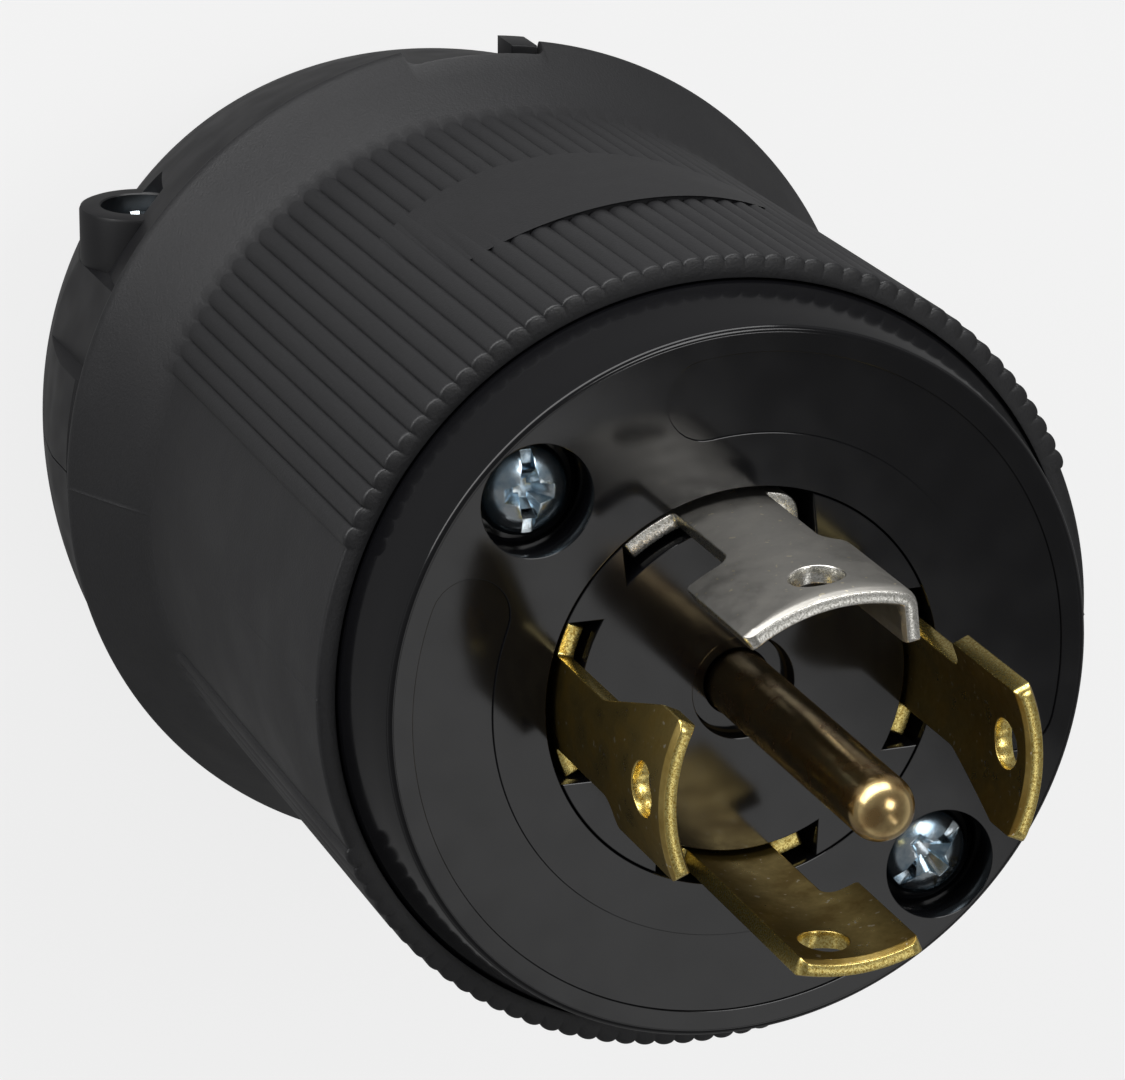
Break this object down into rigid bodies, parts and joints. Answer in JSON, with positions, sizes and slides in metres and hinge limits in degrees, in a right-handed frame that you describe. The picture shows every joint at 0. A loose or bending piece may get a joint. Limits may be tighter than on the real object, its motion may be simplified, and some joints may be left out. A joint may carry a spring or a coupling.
{
  "type": "locking power plug",
  "caption": "Twist-lock power plug with curved blades round a ground pin, a ribbed grip sleeve and a two-piece cord clamp.",
  "frame": {"origin": "on the plug's axis at its rear, cord end, which it stands on", "axes": "+Z along the axis to the blade tips, +X through the smooth pad on the grip sleeve and along the clamp screws"},
  "size_m": [0.065, 0.0658, 0.1149],
  "materials": {
    "carrier_gloss": "gloss moulded",
    "block_matte": "moulded",
    "brass": "stamped, satin",
    "nickel": "nickel-plated brass, satin",
    "bronze": "tin-plated bronze, dull",
    "zinc": "zinc-plated steel",
    "sleeve_textured": "fine moulded texture",
    "clamp_matte": "satin moulded",
    "seal_rubber": "matte",
    "insert_brass": "turned"
  },
  "bodies": {
    "root": {"contact_carrier": "carrier_gloss", "terminal_block": "block_matte", "blade_x": "brass", "blade_y": "brass", "blade_z": "brass", "blade_neutral": "nickel", "ground_pin": "bronze", "ground_strap": "bronze", "terminal_screw_x": "zinc", "terminal_screw_y": "zinc", "terminal_screw_z": "zinc", "terminal_screw_neutral": "zinc", "terminal_screw_ground": "zinc", "pressure_plate_x": "zinc", "pressure_plate_y": "zinc", "pressure_plate_z": "zinc", "pressure_plate_neutral": "zinc", "pressure_plate_ground": "zinc", "grip_sleeve": "sleeve_textured", "clamp_half_a": "clamp_matte", "clamp_half_b": "clamp_matte", "cord_seal": "seal_rubber", "clamp_screw_a": "zinc", "clamp_screw_b": "zinc", "clamp_nut_a": "zinc", "clamp_nut_b": "zinc", "assembly_screw_a": "zinc", "assembly_screw_b": "zinc", "assembly_insert_a": "insert_brass", "assembly_insert_b": "insert_brass"}
  },
  "joints": []
}
